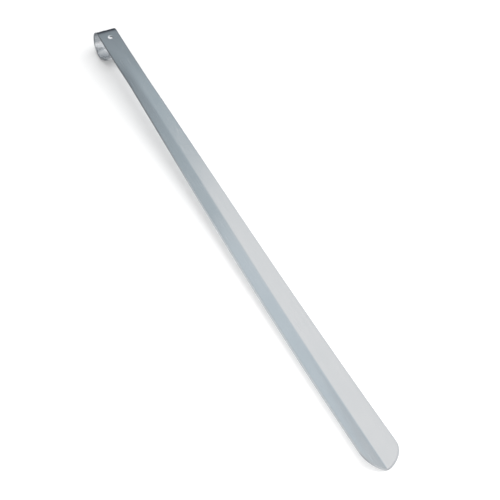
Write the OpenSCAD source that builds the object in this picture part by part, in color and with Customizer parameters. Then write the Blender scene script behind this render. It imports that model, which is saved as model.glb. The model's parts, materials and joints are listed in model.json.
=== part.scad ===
// Long shoehorn: one tapered metal strip, folded along its middle and hooked at the far end.
// It lies on a surface, hollow side up, on the hook's underside and the keel of the fold near the tip.
// +X points to the tip, +Z up; the origin is the middle of the footprint, on the surface.
// The strip has three regions, each a closed solid, which meet face to face.

/* [Strip] */
// Length over all, from the back of the hook to the tip
total_length = 600; // [450:5:800]
// Thickness of the sheet
sheet_t = 2; // [1.2:0.1:3]
// Width of the flat blank at the hook
handle_w = 18.5; // [14:0.5:26]
// Width that the flat blank's taper reaches at the tip
tip_w = 36.8; // [28:0.2:50]
// Length at the hook end where the blank's sides stay parallel
parallel_length = 89; // [60:1:160]
// Length of the rounded end of the blade, a half ellipse in the flat
tip_round = 18; // [12:0.5:30]
// Bevel that breaks every long edge
edge_bevel = 0.3; // [0.1:0.05:0.5]

/* [Hook] */
// Outer radius of the hook's bend
hook_r = 13; // [9:0.5:20]
// How far the bend turns past half a turn, so that the lip rises from the surface
lip_rise = 30; // [0:1:45]
// Straight length of the lip before its rounded end
lip_straight = 7; // [2:0.5:15]
// Length of flat strip between the bend and the start of the fold
flat_length = 20; // [14:1:40]
// Diameter of the hanging hole
hole_d = 4.5; // [3:0.25:7]
// Distance from the end of the bend to the middle of the hanging hole
hole_set = 6.5; // [5:0.5:9]

/* [Fold] */
// Angle each side of the handle is folded up from flat
handle_fold = 12.5; // [4:0.5:16]
// Angle each side is folded up from flat at the tip
tip_fold = 32.5; // [18:0.5:36]
// Length over which the fold rises from flat to the handle's angle
fold_in = 60; // [30:5:90]
// Inside radius of the fold where it starts
soft_crease = 5; // [2:0.5:8]
// Inside radius of the fold along the rest of the strip
sharp_crease = 1; // [0.5:0.1:2]
// Length over which the fold tightens from one radius to the other
crease_in = 110; // [60:5:140]
// Distance from the back of the hook to where the handle ends and the blade starts
handle_length = 266; // [240:2:320]

/* [Sweep] */
// Distance from the start of the blade to where it begins to curve up
sweep_delay = 54; // [10:2:100]
// Distance from the tip to where the keel touches the surface
touch_set = 15; // [5:1:40]

/* [Hidden] */

$fn = 96;
metal = [0.72, 0.76, 0.80];

back_x = -total_length / 2;
tip_x = total_length / 2;
bend_x = back_x + hook_r;
bend_z = hook_r;

// The blade's curve is a parabola that runs level at the touching point. The handle's line meets that
// level half way along the parabola, and its other end is tangent to the top of the bend.
blade_x = back_x + handle_length;
sweep_x = blade_x + sweep_delay;
touch_x = tip_x - touch_set;
aim_run = (sweep_x + touch_x) / 2 - bend_x;
aim_drop = bend_z - sheet_t;
tilt = atan2(aim_drop, aim_run) + asin(hook_r / norm([aim_run, aim_drop]));
curve = tan(tilt) / (2 * (touch_x - sweep_x));

// The flat root leaves the bend along the handle's line
root_x = bend_x + hook_r * sin(tilt) + flat_length * cos(tilt);
root_z = bend_z + hook_r * cos(tilt) - flat_length * sin(tilt);
bend_turn = 180 + tilt + lip_rise;

taper_x = back_x + parallel_length;
// The tip is a half ellipse that stops a little short of its own end, where the strip has width left
last_turn = 86;
round_x = tip_x - tip_round;
round_run = tip_round / sin(last_turn);

// Stations and section points: enough for a smooth surface, closer together at the tip and the crease
station_step = 10;
tip_steps = 14;
half_points = 8;

// The lip starts this far inside the bend, so that the two are one solid
lap = 0.001;

function clamp01(v) = max(0, min(1, v));
function ease(v) = let (s = clamp01(v)) s * s * (3 - 2 * s);
function mix(a, b, s) = a + (b - a) * s;

// Angle of each side of the fold at x
function fold(x) = handle_fold * ease((x - root_x) / fold_in)
    + (tip_fold - handle_fold) * clamp01((x - blade_x) / (tip_x - blade_x));

// Inside radius of the fold at x
function crease_r(x) = mix(soft_crease, sharp_crease, ease((x - root_x) / crease_in));

// Half of the flat blank's width at x, and half of the folded width
function half_flat(x) = mix(handle_w, tip_w, clamp01((x - taper_x) / (tip_x - taper_x))) / 2;
function half_folded(x) = half_flat(x) * cos(fold(x))
    * sqrt(1 - pow(max(0, x - round_x) / round_run, 2));

// Height and slope of the crease's upper surface at x
function past_sweep(x) = max(0, x - sweep_x);
function crease_z(x) = root_z - tan(tilt) * (x - root_x) + curve * pow(past_sweep(x), 2);
function slope(x) = atan(2 * curve * past_sweep(x) - tan(tilt));

// A point of the folded sheet: its place across the strip, and its depth below the upper surface
function sheet_point(x, across, depth) =
    let (r = crease_r(x),
         reach = norm([across, r]),
         lean = atan(tan(fold(x)) * across / reach),
         rise = tan(fold(x)) * (reach - r) - depth * cos(lean),
         s = slope(x))
    [x - rise * sin(s), across + depth * sin(lean), crease_z(x) + rise * cos(s)];

// Section of the strip in the flat: places across it, which gather at the crease, each with its depth
function spread(half_w) = [for (i = [-half_points:half_points])
    let (s = i / half_points) half_w * s * abs(s)];
function section(half_w) = let (inner = spread(half_w - edge_bevel), n = len(inner)) concat(
    [for (y = inner) [y, 0]],
    [[half_w, edge_bevel], [half_w, sheet_t - edge_bevel]],
    [for (i = [n - 1:-1:0]) [inner[i], sheet_t]],
    [[-half_w, sheet_t - edge_bevel], [-half_w, edge_bevel]]);

// The sheet between the first and the last of a list of stations
module folded_strip(stations) {
    rings = [for (x = stations) [for (p = section(half_folded(x))) sheet_point(x, p[0], p[1])]];
    n = len(rings[0]);
    last = len(rings) - 1;
    walls = [for (k = [0:last - 1], i = [0:n - 1])
        let (a = k * n + i, b = k * n + (i + 1) % n) each [[a, b, b + n], [a, b + n, a + n]]];
    ends = [[for (i = [n - 1:-1:0]) i], [for (i = [0:n - 1]) last * n + i]];
    polyhedron(points = [for (ring = rings) each ring], faces = concat(walls, ends));
}

// Evenly spaced stations from one place to another, both included
function stations(from, to) = let (n = ceil((to - from) / station_step))
    [for (i = [0:n]) mix(from, to, i / n)];

// Section of the flat strip, standing at the bend's radius
module strip_section() {
    polygon([for (p = section(handle_w / 2)) [hook_r - p[1], p[0]]]);
}

// Half of that section, for the lip's rounded end
module half_section() {
    polygon([
        [0, hook_r], [handle_w / 2 - edge_bevel, hook_r],
        [handle_w / 2, hook_r - edge_bevel], [handle_w / 2, hook_r - sheet_t + edge_bevel],
        [handle_w / 2 - edge_bevel, hook_r - sheet_t], [0, hook_r - sheet_t]
    ]);
}

// Hook, drawn about the bend's axis with the flat root along -Y, then turned to its place
module hook() {
    color(metal) translate([bend_x, 0, bend_z]) rotate([0, tilt - 90, 0]) rotate([90, 0, 0])
    difference() {
        union() {
            rotate([90, 0, 0]) linear_extrude(flat_length) strip_section();
            rotate_extrude(angle = bend_turn) strip_section();
            rotate([0, 0, bend_turn]) translate([0, -lap, 0]) lip();
        }
        translate([0, -hole_set, 0]) rotate([0, 90, 0]) cylinder(h = hook_r + 1, d = hole_d);
    }
}

// Lip: a short flat with a half-round end
module lip() {
    rotate([-90, 0, 0]) linear_extrude(lip_straight) strip_section();
    translate([0, lip_straight, 0]) rotate([0, 90, 0]) rotate_extrude(angle = 180) half_section();
}

// Handle: the narrow strip, where the fold rises from flat to its shallow angle
module handle() {
    color(metal) folded_strip(stations(root_x, blade_x));
}

// Blade: the fold deepens and the strip curves up to its rounded tip
module blade() {
    rounded = [for (i = [1:tip_steps]) round_x + round_run * sin(last_turn * i / tip_steps)];
    color(metal) folded_strip(concat(stations(blade_x, round_x), rounded));
}

hook();
handle();
blade();
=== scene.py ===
"""Long shoehorn on a white table: one continuous strip of satin metal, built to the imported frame."""
import json
import math

import bpy
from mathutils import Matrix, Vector


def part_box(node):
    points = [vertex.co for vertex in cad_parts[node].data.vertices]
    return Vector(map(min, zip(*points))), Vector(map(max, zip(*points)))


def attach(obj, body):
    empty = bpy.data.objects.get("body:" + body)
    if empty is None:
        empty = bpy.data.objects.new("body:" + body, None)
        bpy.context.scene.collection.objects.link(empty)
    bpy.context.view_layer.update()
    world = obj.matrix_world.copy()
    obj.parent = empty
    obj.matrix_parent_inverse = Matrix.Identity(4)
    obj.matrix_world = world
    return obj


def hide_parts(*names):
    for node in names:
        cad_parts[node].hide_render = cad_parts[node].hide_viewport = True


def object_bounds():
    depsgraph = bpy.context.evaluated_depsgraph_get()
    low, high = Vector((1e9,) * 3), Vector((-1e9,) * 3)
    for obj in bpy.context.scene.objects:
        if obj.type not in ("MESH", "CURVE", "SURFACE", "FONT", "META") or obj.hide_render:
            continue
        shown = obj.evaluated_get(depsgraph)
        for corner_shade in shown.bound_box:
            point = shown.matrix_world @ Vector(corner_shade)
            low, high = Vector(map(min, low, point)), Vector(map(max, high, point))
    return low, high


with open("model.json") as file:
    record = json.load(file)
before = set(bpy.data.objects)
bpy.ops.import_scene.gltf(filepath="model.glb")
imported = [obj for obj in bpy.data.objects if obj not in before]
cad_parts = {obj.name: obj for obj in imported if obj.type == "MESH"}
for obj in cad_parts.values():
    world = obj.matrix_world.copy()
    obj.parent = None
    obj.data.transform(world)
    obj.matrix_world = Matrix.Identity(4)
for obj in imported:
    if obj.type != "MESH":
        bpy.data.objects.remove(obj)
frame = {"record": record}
cad_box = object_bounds()

MM = 0.001

# ---------------------------------------------------------------- sizes, in millimetres
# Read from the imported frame
cad_lo, cad_hi = (corner_shade / MM for corner_shade in cad_box)
hook_lo, hook_hi = (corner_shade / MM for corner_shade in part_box("hook"))
blade_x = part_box("blade")[0].x / MM
hole = next(m for m in frame["record"]["mounts"] if m["name"] == "hang_hole")
HOLE_R = hole["dims"]["r_mm"]
SHEET_T = hole["dims"]["length_mm"]
HOOK_R = (hook_hi.z - hook_lo.z) / 2
HALF_W = (hook_hi.y - hook_lo.y) / 2
TIP_X = cad_hi.x
BACK_X = cad_lo.x

# The design's other driving sizes
TIP_HALF_W = 18.4
PARALLEL = 89.0
TIP_ROUND = 18.0
LIP_RISE = math.radians(30)
LIP_STRAIGHT = 7.0
FLAT_LENGTH = 20.0
HANDLE_FOLD = math.radians(12.5)
TIP_FOLD = math.radians(32.5)
FOLD_IN = 60.0
SOFT_CREASE = 5.0
SHARP_CREASE = 1.0
CREASE_IN = 110.0
SWEEP_DELAY = 54.0
TOUCH_SET = 15.0

# Radii that the cut edge and the hole's rim are rounded to
EDGE_R = 0.25
HOLE_EDGE_R = 0.25

# Derived, as the design derives them
BEND_X, BEND_Z = BACK_X + HOOK_R, HOOK_R
SWEEP_X, TOUCH_X = blade_x + SWEEP_DELAY, TIP_X - TOUCH_SET
AIM_RUN, AIM_DROP = (SWEEP_X + TOUCH_X) / 2 - BEND_X, BEND_Z - SHEET_T
TILT = math.atan2(AIM_DROP, AIM_RUN) + math.asin(HOOK_R / math.hypot(AIM_RUN, AIM_DROP))
CURVE = math.tan(TILT) / (2 * (TOUCH_X - SWEEP_X))
TAPER_X, ROUND_X = BACK_X + PARALLEL, TIP_X - TIP_ROUND

# The strip's path is measured from the lip's end: lip, bend, then the line that x measures
LIP_LENGTH = LIP_STRAIGHT + HALF_W
BEND_END = math.pi + LIP_RISE
LINE_S = LIP_LENGTH + HOOK_R * (BEND_END + TILT)
LINE_X = BEND_X + HOOK_R * math.sin(TILT)
LINE_Z = BEND_Z + HOOK_R * math.cos(TILT)
ROOT_X = LINE_X + FLAT_LENGTH * math.cos(TILT)

# Painted shade on the cut edge's corners, given as how dark the metal is painted there: 1 on their
# rounding, this much where a face begins.
# From the bend's end on, it fades to a share of that over a length in millimetres.
CORNER_SHADE_AT_FACE = 0.3
CORNER_SHADE_FAR_SHARE = 0.3
CORNER_SHADE_FADE = 200.0


def clamp01(v):
    return max(0.0, min(1.0, v))


def ease(v):
    s = clamp01(v)
    return s * s * (3 - 2 * s)


def mix(a, b, s):
    return a + (b - a) * s


def x_at(s):
    """X on the line at a place along the path."""
    return LINE_X + (s - LINE_S) * math.cos(TILT)


def s_at(x):
    """Place along the path of an X on the line."""
    return LINE_S + (x - LINE_X) / math.cos(TILT)


def fold(x):
    """Angle of each side of the fold."""
    deeper = (TIP_FOLD - HANDLE_FOLD) * clamp01((x - blade_x) / (TIP_X - blade_x))
    return HANDLE_FOLD * ease((x - ROOT_X) / FOLD_IN) + deeper


def half_width(s):
    """Half of the strip's folded width."""
    if s < HALF_W:
        return math.sqrt(max(0.0, HALF_W ** 2 - (HALF_W - s) ** 2))
    if s < LINE_S:
        return HALF_W
    x = x_at(s)
    flat = mix(HALF_W, TIP_HALF_W, clamp01((x - TAPER_X) / (TIP_X - TAPER_X)))
    turn = clamp01((x - ROUND_X) / TIP_ROUND)
    return flat * math.cos(fold(x)) * math.sqrt(max(0.0, 1 - turn * turn))


def spine(s):
    """Point on the crease's upper surface and the normal there, in the middle plane."""
    if s < LINE_S:
        turn = BEND_END - max(0.0, s - LIP_LENGTH) / HOOK_R
        normal = Vector((-math.sin(turn), 0, math.cos(turn)))
        along = Vector((math.cos(turn), 0, math.sin(turn)))
        back = max(0.0, LIP_LENGTH - s)
        return Vector((BEND_X, 0, BEND_Z)) + normal * HOOK_R - along * back, normal
    x = x_at(s)
    past = max(0.0, x - SWEEP_X)
    z = LINE_Z - math.tan(TILT) * (x - LINE_X) + CURVE * past ** 2
    slope = math.atan(2 * CURVE * past - math.tan(TILT))
    return Vector((x, 0, z)), Vector((-math.sin(slope), 0, math.cos(slope)))


def sheet_point(s, across, depth):
    """A point of the folded sheet, in metres."""
    base, normal = spine(s)
    x = x_at(s) if s > LINE_S else LINE_X
    r = mix(SOFT_CREASE, SHARP_CREASE, ease((x - ROOT_X) / CREASE_IN))
    reach = math.hypot(across, r)
    lean = math.atan(math.tan(fold(x)) * across / reach)
    rise = math.tan(fold(x)) * (reach - r) - depth * math.cos(lean)
    return (base + normal * rise + Vector((0, across + depth * math.sin(lean), 0))) * MM


# ---------------------------------------------------------------- the strip's mesh
# Rows along the path: numbers of steps for the round stretches, lengths of steps for the others
END_STEPS = 16
BEND_STEPS = 60
TIP_STEPS = 26
LIP_STEP = 1.5
ROOT_STEP = 1.0
PATCH_STEP = 0.9
CLEAR_STEP = 1.5
CREASE_STEP = 3.0
STRIP_STEP = 4.0

# Columns on each side of the crease. The hole's patch takes the place of some of them, over a length on
# each side of the hole's axis; the allowance is for comparing places.
COLUMNS = 14
PATCH_COLUMNS = 10
PATCH_LOW = COLUMNS - PATCH_COLUMNS
PATCH_HIGH = COLUMNS + PATCH_COLUMNS
PATCH_HALF = 4.2
ALLOWANCE = 0.01

# Steps round the edges, and rings from the patch to the hole's rim, which gather towards the rim
EDGE_STEPS = 5
HOLE_EDGE_STEPS = 3
HOLE_RINGS = 4
RING_POWER = 0.7

# Place of the hole's axis along the path, where it passes the middle of the sheet
HOLE_S = s_at((hole["pos_m"][0] + hole["axis"][0] * SHEET_T * MM / 2) / MM)


def spaced(a, b, step):
    """Even places from a, up to but not including b, at most a step apart."""
    n = max(1, math.ceil((b - a) / step))
    return [mix(a, b, i / n) for i in range(n)]


def row_places():
    """Places along the path for the rows of the mesh, from the lip's end to the tip."""
    lip = [HALF_W * (1 - math.cos(math.pi / 2 * i / END_STEPS)) for i in range(END_STEPS)]
    lip += spaced(HALF_W, LIP_LENGTH, LIP_STEP)
    bend = [mix(LIP_LENGTH, LINE_S, i / BEND_STEPS) for i in range(BEND_STEPS)]
    root = spaced(LINE_S, HOLE_S - PATCH_HALF, ROOT_STEP)
    root += spaced(HOLE_S - PATCH_HALF, HOLE_S + PATCH_HALF, PATCH_STEP)
    root += spaced(HOLE_S + PATCH_HALF, s_at(ROOT_X), CLEAR_STEP)
    rest = spaced(s_at(ROOT_X), s_at(ROOT_X + CREASE_IN), CREASE_STEP)
    rest += spaced(s_at(ROOT_X + CREASE_IN), s_at(ROUND_X), STRIP_STEP)
    tip = [s_at(ROUND_X + TIP_ROUND * math.sin(math.pi / 2 * i / TIP_STEPS))
           for i in range(TIP_STEPS + 1)]
    return lip + bend + root + rest + tip


PATH = row_places()
LAST = len(PATH) - 1
WIDTHS = [half_width(s) for s in PATH]
PATCH_ROWS = [k for k, s in enumerate(PATH) if abs(s - HOLE_S) < PATCH_HALF + ALLOWANCE]
FIRST_PATCH = PATCH_ROWS[0]
LAST_PATCH = PATCH_ROWS[-1]


def outward(k):
    """Direction out of the outline at row k: its parts along the path and across it."""
    if k == 0:
        return -1.0, 0.0
    if k == LAST:
        return 1.0, 0.0
    ds, dw = PATH[k + 1] - PATH[k - 1], WIDTHS[k + 1] - WIDTHS[k - 1]
    size = math.hypot(ds, dw)
    return -dw / size, ds / size


def round_over(radius, steps):
    """(inset, depth) pairs over a quarter round, from a face to the wall below it."""
    quarter = [math.pi / 2 * i / steps for i in range(steps + 1)]
    return [(radius * (1 - math.sin(a)), radius * (1 - math.cos(a))) for a in quarter]


def edge_profile():
    """(inset, depth) pairs over the rounded cut edge, from the upper face to the lower one."""
    upper = round_over(EDGE_R, EDGE_STEPS)
    upper.append((0.0, 2 * EDGE_R))
    return upper + [(inset, SHEET_T - depth) for inset, depth in reversed(upper)]


class Shell:
    """Points, each with its place along the path, its place across and its depth, and their faces."""

    def __init__(self):
        self.points = []
        self.faces = []

    def put(self, s, across, depth):
        self.points.append((s, across, depth))
        return len(self.points) - 1

    def face(self, loop, flip):
        self.faces.append(loop[::-1] if flip else loop)

    def bands(self, loops, flip):
        """Faces between each closed loop of points and the next."""
        for a, b in zip(loops, loops[1:]):
            for i in range(len(a)):
                j = (i + 1) % len(a)
                self.face([a[i], b[i], b[j], a[j]], flip)


def face_rows(shell, depth):
    """Rows of points over one face: a single point at each end, and none inside the hole's patch."""
    rows = []
    for k in range(LAST + 1):
        ns, nw = outward(k)
        s, w = PATH[k] - EDGE_R * ns, WIDTHS[k] - EDGE_R * nw
        if k in (0, LAST):
            rows.append([shell.put(s, 0.0, depth)])
            continue
        row = []
        for i in range(-COLUMNS, COLUMNS + 1):
            c = i / COLUMNS
            hidden = FIRST_PATCH < k < LAST_PATCH and abs(i) < PATCH_COLUMNS
            row.append(None if hidden else shell.put(s, w * c * abs(c), depth))
        rows.append(row)
    return rows


def fill_rows(shell, rows, flip):
    """Faces between the rows, apart from the hole's patch."""
    for k in range(LAST):
        a, b = rows[k], rows[k + 1]
        for i in range(2 * COLUMNS):
            if PATCH_LOW <= i < PATCH_HIGH and FIRST_PATCH <= k < LAST_PATCH:
                continue
            if k == 0:
                loop = [a[0], b[i], b[i + 1]]
            elif k == LAST - 1:
                loop = [a[i], b[0], a[i + 1]]
            else:
                loop = [a[i], b[i], b[i + 1], a[i + 1]]
            shell.face(loop, flip)


def border(rows):
    """The points all round one face: along the right side and back along the left."""
    right = [rows[0][0]] + [rows[k][-1] for k in range(1, LAST)] + [rows[LAST][0]]
    return right + [rows[k][0] for k in range(LAST - 1, 0, -1)]


def edge_loop(shell, inset, depth):
    """A loop of points all round the strip, inside its outline by the inset."""
    def point(k, side):
        ns, nw = outward(k)
        return shell.put(PATH[k] - inset * ns, side * max(0.0, WIDTHS[k] - inset * nw), depth)

    right = [point(k, 1) for k in range(LAST + 1)]
    return right + [point(k, -1) for k in range(LAST - 1, 0, -1)]


def add_cut_edge(shell, upper, lower):
    """The rounded cut edge, all the way round; returns its loops of points."""
    between = [edge_loop(shell, inset, depth) for inset, depth in edge_profile()[1:-1]]
    loops = [border(upper), *between, border(lower)]
    shell.bands(loops, True)
    return loops


def patch_loop(rows):
    """The points round the hole's patch, with the angle about the hole's axis that each is given."""
    sides = [
        [rows[k][PATCH_LOW] for k in range(LAST_PATCH, FIRST_PATCH, -1)],
        [rows[FIRST_PATCH][i] for i in range(PATCH_LOW, PATCH_HIGH)],
        [rows[k][PATCH_HIGH] for k in range(FIRST_PATCH, LAST_PATCH)],
        [rows[LAST_PATCH][i] for i in range(PATCH_HIGH, PATCH_LOW, -1)],
    ]
    loop = []
    for q, side in enumerate(sides):
        start = math.radians(-45 - 90 * q)
        loop += [(v, start - math.pi / 2 * i / len(side)) for i, v in enumerate(side)]
    return loop


def flat_rings(shell, loop, rim, depth):
    """Rings of points from the patch's outline to the hole's rim."""
    rings = [[v for v, _ in loop]]
    for i in range(1, HOLE_RINGS + 1):
        t = (i / HOLE_RINGS) ** RING_POWER
        ring = []
        for v, a in loop:
            s, across, _ = shell.points[v]
            ring.append(shell.put(mix(s, HOLE_S + rim * math.cos(a), t),
                                  mix(across, rim * math.sin(a), t), depth))
        rings.append(ring)
    return rings


def add_hole(shell, upper, lower):
    """Flat rings to the hole's rim on both faces, then the rounded rims and the wall between them."""
    rim = HOLE_R + HOLE_EDGE_R
    loop = patch_loop(upper)
    above = flat_rings(shell, loop, rim, 0.0)
    below = flat_rings(shell, patch_loop(lower), rim, SHEET_T)
    shell.bands(above, False)
    shell.bands(below, True)

    half = round_over(HOLE_EDGE_R, HOLE_EDGE_STEPS)[1:]
    wall = [above[-1]]
    for inset, depth in half + [(inset, SHEET_T - depth) for inset, depth in reversed(half)]:
        radius = HOLE_R + inset
        wall.append([shell.put(HOLE_S + radius * math.cos(a), radius * math.sin(a), depth)
                     for _, a in loop])
    wall.append(below[-1])
    shell.bands(wall, False)


def mark_corner_shade(mesh, shell, loops):
    """Store the painted shade at each point of the cut edge, as how dark the metal is painted there; the
    flat of the edge gets none.
    """
    corner_shade = mesh.attributes.new("corner_shade", "FLOAT", "POINT")
    face_loops = (0, len(loops) - 1)
    flat_loops = (EDGE_STEPS + 1, EDGE_STEPS + 2)
    for k, loop in enumerate(loops):
        if k in face_loops:
            amount = CORNER_SHADE_AT_FACE
        else:
            amount = 0.0 if k in flat_loops else 1.0
        for i in loop:
            fade = mix(1.0, CORNER_SHADE_FAR_SHARE, clamp01((shell.points[i][0] - LINE_S) / CORNER_SHADE_FADE))
            corner_shade.data[i].value = amount * fade


def build_strip():
    """The whole strip as one closed mesh, with a UV map in metres along and across it."""
    shell = Shell()
    upper = face_rows(shell, 0.0)
    lower = face_rows(shell, SHEET_T)
    fill_rows(shell, upper, False)
    fill_rows(shell, lower, True)
    loops = add_cut_edge(shell, upper, lower)
    add_hole(shell, upper, lower)

    mesh = bpy.data.meshes.new("strip")
    mesh.from_pydata([sheet_point(*point) for point in shell.points], [], shell.faces)
    mark_corner_shade(mesh, shell, loops)
    uv = mesh.uv_layers.new(name="along")
    for loop in mesh.loops:
        s, across, _ = shell.points[loop.vertex_index]
        uv.data[loop.index].uv = (s * MM, across * MM)
    mesh.validate()
    for face in mesh.polygons:
        face.use_smooth = True
    obj = bpy.data.objects.new("shoehorn_strip", mesh)
    bpy.context.scene.collection.objects.link(obj)
    normals = obj.modifiers.new("weighted", "WEIGHTED_NORMAL")
    normals.weight = 100
    normals.keep_sharp = False
    return obj


# ---------------------------------------------------------------- materials
# The metal's layers of grain: cells in a metre along and across the strip, detail, contrast
BRUSHING = ((55, 5200, 1), 3.0, 0.22)
STREAKS = ((9, 260, 1), 2.0, 0.25)
CLOUDS = ((38, 75, 1), 3.0, 0.25)
SCRATCHES = ((30, 1500, 1), 1.0, 0.25)
GRAIN_ROUGHNESS = 0.6
# Only the top of the scratches' layer shows, as hairlines
HAIRLINES_FROM = 0.93

SATIN_DARK = (0.715, 0.735, 0.752)
SATIN_LIGHT = (0.765, 0.775, 0.788)
# Painted shade: the dark colour that the cut edge's corners are painted towards
CORNER_SHADE_COLOUR = (0.40, 0.415, 0.43)
METAL_ROUGHNESS = 0.19
BUMP_STRENGTH = 0.10
BUMP_DISTANCE = 0.00004

# The table as the camera sees it: its own colour, and painted light, a glow that grows along X, in metres,
# and lightens the strip's shadow more towards the tip
TABLE_COLOUR = (0.58, 0.58, 0.58)
PAINTED_GLOW_X = (-0.3, 0.3)
PAINTED_GLOW_STRENGTH = (0.19, 0.58)

# Painted reflection: the table as the metal mirrors it, in other colours than the camera sees: a band of
# painted shade along the near side, darkest at the hook, then one tone on the near side of the strip, a
# lighter one on its far side, and another past the tip. Places are in metres, each pair is where one tone
# starts and stops giving way to the next, and the band's edge is measured from its middle line.
SHADE_BAND_Y = -0.055
SHADE_BAND_EDGE = (0.035, 0.055)
SHADE_BAND_X = (-0.23, -0.02)
SHADE_BAND_AT_HOOK = (0.15, 0.16, 0.17)
SHADE_BAND_AT_BLADE = (0.48, 0.50, 0.51)
SIDES_Y = (-0.03, 0.0)
NEAR_SIDE = (0.50, 0.51, 0.52)
FAR_SIDE = (0.8, 0.8, 0.8)
AHEAD_X = (0.20, 0.33)
AHEAD = (0.44, 0.45, 0.46)

# Sockets of the Mix node that carry colours
MIX_FIRST, MIX_SECOND, MIX_RESULT = 6, 7, 2


def node(tree, kind, **values):
    """A new node, with its sockets and settings given by name."""
    made = tree.nodes.new(kind)
    for key, value in values.items():
        if key in made.inputs:
            made.inputs[key].default_value = value
        else:
            setattr(made, key, value)
    return made


def map_range(tree, value, low, high, start=0.0, end=1.0):
    """A smooth step from start to end while the value goes from low to high."""
    ramp = node(tree, "ShaderNodeMapRange", interpolation_type="SMOOTHSTEP")
    for name, number in (("From Min", low), ("From Max", high), ("To Min", start), ("To Max", end)):
        ramp.inputs[name].default_value = number
    tree.links.new(value, ramp.inputs["Value"])
    return ramp.outputs["Result"]


def maths(tree, operation, *values):
    made = node(tree, "ShaderNodeMath", operation=operation)
    for socket, value in zip(made.inputs, values):
        if isinstance(value, (int, float)):
            socket.default_value = value
        else:
            tree.links.new(value, socket)
    return made.outputs[0]


def weighted_sum(tree, start, *parts):
    """The start value plus each part's value times its weight."""
    total = start
    for value, weight in parts:
        total = maths(tree, "ADD", total, maths(tree, "MULTIPLY", value, weight))
    return total


def blend(tree, factor, first, second):
    """From the first colour to the second as the factor goes from 0 to 1."""
    made = node(tree, "ShaderNodeMix", data_type="RGBA")
    tree.links.new(factor, made.inputs[0])
    for socket, value in ((made.inputs[MIX_FIRST], first), (made.inputs[MIX_SECOND], second)):
        if isinstance(value, tuple):
            socket.default_value = (*value, 1)
        else:
            tree.links.new(value, socket)
    return made.outputs[MIX_RESULT]


def grain(tree, source, scale, detail, contrast):
    """Noise over stretched coordinates, from 0 to 1, sharpened about its middle."""
    stretch = node(tree, "ShaderNodeVectorMath", operation="MULTIPLY")
    stretch.inputs[1].default_value = scale
    tree.links.new(source, stretch.inputs[0])
    noise = node(tree, "ShaderNodeTexNoise", Scale=1.0, Detail=detail, Roughness=GRAIN_ROUGHNESS)
    tree.links.new(stretch.outputs[0], noise.inputs["Vector"])
    return map_range(tree, noise.outputs["Fac"], 0.5 - contrast, 0.5 + contrast)


def position(tree):
    """Where the shaded point is, as sockets named X, Y and Z."""
    place = node(tree, "ShaderNodeNewGeometry")
    split = node(tree, "ShaderNodeSeparateXYZ")
    tree.links.new(place.outputs["Position"], split.inputs[0])
    return split.outputs


def empty_material(name):
    """A material with nothing but its output, and its node tree."""
    mat = bpy.data.materials.new(name)
    mat.use_nodes = True
    tree = mat.node_tree
    tree.nodes.remove(tree.nodes["Principled BSDF"])
    return mat, tree


def satin_metal():
    """Cool grey metal: lengthwise brushing, soft cloudiness, hairline scratches, and painted shade on the
    cut edge's corners.
    """
    mat = bpy.data.materials.new("satin_metal")
    mat.use_nodes = True
    tree = mat.node_tree
    link = tree.links.new
    shader = tree.nodes["Principled BSDF"]
    shader.inputs["Metallic"].default_value = 1.0
    along = node(tree, "ShaderNodeUVMap", uv_map="along").outputs["UV"]
    # The painted shade on the cut edge's corners, stored on the mesh, darkens the colour and roughens the
    # metal there
    corner_shade = node(tree, "ShaderNodeAttribute", attribute_name="corner_shade").outputs["Fac"]

    brushing = grain(tree, along, *BRUSHING)
    streaks = grain(tree, along, *STREAKS)
    clouds = grain(tree, along, *CLOUDS)
    hairlines = map_range(tree, grain(tree, along, *SCRATCHES), HAIRLINES_FROM, 1.0)

    tone = weighted_sum(tree, 0.0, (clouds, 0.55), (streaks, 0.3), (brushing, 0.15))
    satin = blend(tree, tone, SATIN_DARK, SATIN_LIGHT)
    link(blend(tree, corner_shade, satin, CORNER_SHADE_COLOUR), shader.inputs["Base Color"])

    rough = weighted_sum(tree, METAL_ROUGHNESS, (clouds, 0.035), (brushing, 0.03), (hairlines, 0.05),
                         (corner_shade, 0.08))
    link(rough, shader.inputs["Roughness"])

    relief = weighted_sum(tree, brushing, (hairlines, -0.8))
    bump = node(tree, "ShaderNodeBump", Strength=BUMP_STRENGTH, Distance=BUMP_DISTANCE)
    link(relief, bump.inputs["Height"])
    link(bump.outputs["Normal"], shader.inputs["Normal"])
    return mat


def painted_table_reflection(tree, place):
    """Painted reflection: the table's colour for what the metal mirrors, with a band of painted shade along
    the near side.
    """
    off_band = maths(tree, "ABSOLUTE", maths(tree, "ADD", place["Y"], -SHADE_BAND_Y))
    aside = map_range(tree, off_band, *SHADE_BAND_EDGE)
    band = blend(tree, map_range(tree, place["X"], *SHADE_BAND_X), SHADE_BAND_AT_HOOK, SHADE_BAND_AT_BLADE)
    sides = blend(tree, map_range(tree, place["Y"], *SIDES_Y), NEAR_SIDE, FAR_SIDE)
    return blend(tree, map_range(tree, place["X"], *AHEAD_X), blend(tree, aside, band, sides), AHEAD)


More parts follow.
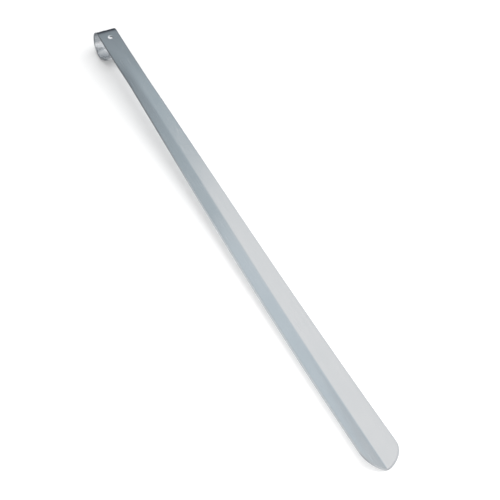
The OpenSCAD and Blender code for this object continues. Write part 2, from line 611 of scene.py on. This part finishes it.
def floor_material():
    """White table with painted light, a glow for the camera that lightens the strip's shadow more towards
    the tip; the metal mirrors a painted reflection in other tones.
    """
    mat, tree = empty_material("table")
    link = tree.links.new
    path = node(tree, "ShaderNodeLightPath").outputs
    place = position(tree)
    matt = node(tree, "ShaderNodeBsdfDiffuse")
    # Glossy rays see the painted reflection of the table instead of its own colour
    colour = blend(tree, path["Is Glossy Ray"], TABLE_COLOUR, painted_table_reflection(tree, place))
    link(colour, matt.inputs["Color"])
    lit = node(tree, "ShaderNodeEmission")
    # Painted light: a glow that only camera rays see, growing towards the tip to lighten the strip's shadow
    painted_glow_here = map_range(tree, place["X"], *PAINTED_GLOW_X, *PAINTED_GLOW_STRENGTH)
    link(maths(tree, "MULTIPLY", painted_glow_here, path["Is Camera Ray"]), lit.inputs["Strength"])
    both = node(tree, "ShaderNodeAddShader")
    link(matt.outputs[0], both.inputs[0])
    link(lit.outputs[0], both.inputs[1])
    link(both.outputs[0], tree.nodes["Material Output"].inputs["Surface"])
    return mat


def glow(name, low, high, bottom, top):
    """Emission that runs from one colour to another between two heights."""
    mat, tree = empty_material(name)
    emit = node(tree, "ShaderNodeEmission")
    colour = blend(tree, map_range(tree, position(tree)["Z"], bottom, top), low, high)
    tree.links.new(colour, emit.inputs["Color"])
    tree.links.new(emit.outputs[0], tree.nodes["Material Output"].inputs["Surface"])
    return mat


# ---------------------------------------------------------------- camera, lights, stage
# Degrees, metres and millimetres of focal length
CAMERA_AZIMUTH = 65.96
CAMERA_ELEVATION = 41.25
CAMERA_DISTANCE = 2.375
CAMERA_LENS = 201.6
AIM = Vector((0.02715, 0.00367, 0.00983))

TABLE_SIZE = 40
# The table is a little below the strip and the cards a little above the table, so that none touch
TABLE_Z = -0.0002
CARD_LIFT = 0.001


def direction(azimuth, elevation):
    """Unit vector towards a place given by its azimuth from -Y and its elevation, in degrees."""
    a, e = math.radians(azimuth), math.radians(elevation)
    return Vector((math.sin(a) * math.cos(e), -math.cos(a) * math.cos(e), math.sin(e)))


def add_camera():
    cam = bpy.data.objects.new("camera", bpy.data.cameras.new("camera"))
    bpy.context.scene.collection.objects.link(cam)
    back = direction(CAMERA_AZIMUTH, CAMERA_ELEVATION)
    cam.location = AIM + back * CAMERA_DISTANCE
    cam.rotation_euler = (-back).to_track_quat("-Z", "Y").to_euler()
    cam.data.lens = CAMERA_LENS
    bpy.context.scene.camera = cam


def add_world(dark, bright, axis, low, high):
    """A sky that brightens smoothly along one axis."""
    world = bpy.data.worlds.new("studio")
    bpy.context.scene.world = world
    world.use_nodes = True
    tree = world.node_tree
    coords = node(tree, "ShaderNodeTexCoord")
    along = node(tree, "ShaderNodeVectorMath", operation="DOT_PRODUCT")
    along.inputs[1].default_value = axis
    tree.links.new(coords.outputs["Generated"], along.inputs[0])
    colour = blend(tree, map_range(tree, along.outputs["Value"], low, high), dark, bright)
    tree.links.new(colour, tree.nodes["Background"].inputs["Color"])


def add_softbox(name, azimuth, elevation, distance, size, power):
    light = bpy.data.lights.new(name, "AREA")
    light.shape = "SQUARE"
    light.size = size
    light.energy = power
    obj = bpy.data.objects.new(name, light)
    bpy.context.scene.collection.objects.link(obj)
    back = direction(azimuth, elevation)
    obj.location = back * distance
    obj.rotation_euler = (-back).to_track_quat("-Z", "Y").to_euler()
    return obj


def add_plane(name, size, location, rotation, material):
    mesh = bpy.data.meshes.new(name)
    w, h = size[0] / 2, size[1] / 2
    mesh.from_pydata([(-w, -h, 0), (w, -h, 0), (w, h, 0), (-w, h, 0)], [], [(0, 1, 2, 3)])
    mesh.materials.append(material)
    obj = bpy.data.objects.new(name, mesh)
    bpy.context.scene.collection.objects.link(obj)
    obj.location = location
    obj.rotation_euler = rotation
    return obj


def add_card(name, material, size, place, turn):
    """An upright glowing plane just above the table, which only the metal mirrors and the camera doesn't
    see: a painted reflection.
    """
    location = (*place, size[1] / 2 + CARD_LIFT)
    rotation = (math.radians(90), 0, math.radians(turn))
    obj = add_plane(name, size, location, rotation, material)
    obj.visible_camera = False
    obj.visible_diffuse = False
    obj.visible_shadow = False


add_camera()
strip = build_strip()
strip.data.materials.append(satin_metal())
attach(strip, "root")
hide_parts("hook", "handle", "blade")

add_world(dark=(0.63, 0.70, 0.745), bright=(0.91, 0.91, 0.91), axis=(0.35, -0.5, 0.6), low=-0.32, high=0.23)
key = add_softbox("key", azimuth=176, elevation=68, distance=1.6, size=1.9, power=30)
key.visible_glossy = False
add_plane("table", (TABLE_SIZE, TABLE_SIZE), (0, 0, TABLE_Z), (0, 0, 0), floor_material())
# Painted reflections: a glowing dark card behind the hook and a long grey one along the near side, both
# paler towards the top
dark = glow("flag", low=(0.02, 0.02, 0.03), high=(0.455, 0.525, 0.565), bottom=0.02, top=0.36)
grey = glow("card", low=(0.44, 0.46, 0.48), high=(0.61, 0.63, 0.65), bottom=0.0, top=0.20)
add_card("flag", dark, size=(0.83, 0.48), place=(-0.47, -0.005), turn=90)
add_card("card", grey, size=(3.0, 0.20), place=(-0.2, -0.6), turn=0)
bpy.context.scene.view_settings.view_transform = "Standard"
bpy.context.scene.cycles.glossy_bounces = 12
bpy.context.scene.cycles.max_bounces = 16
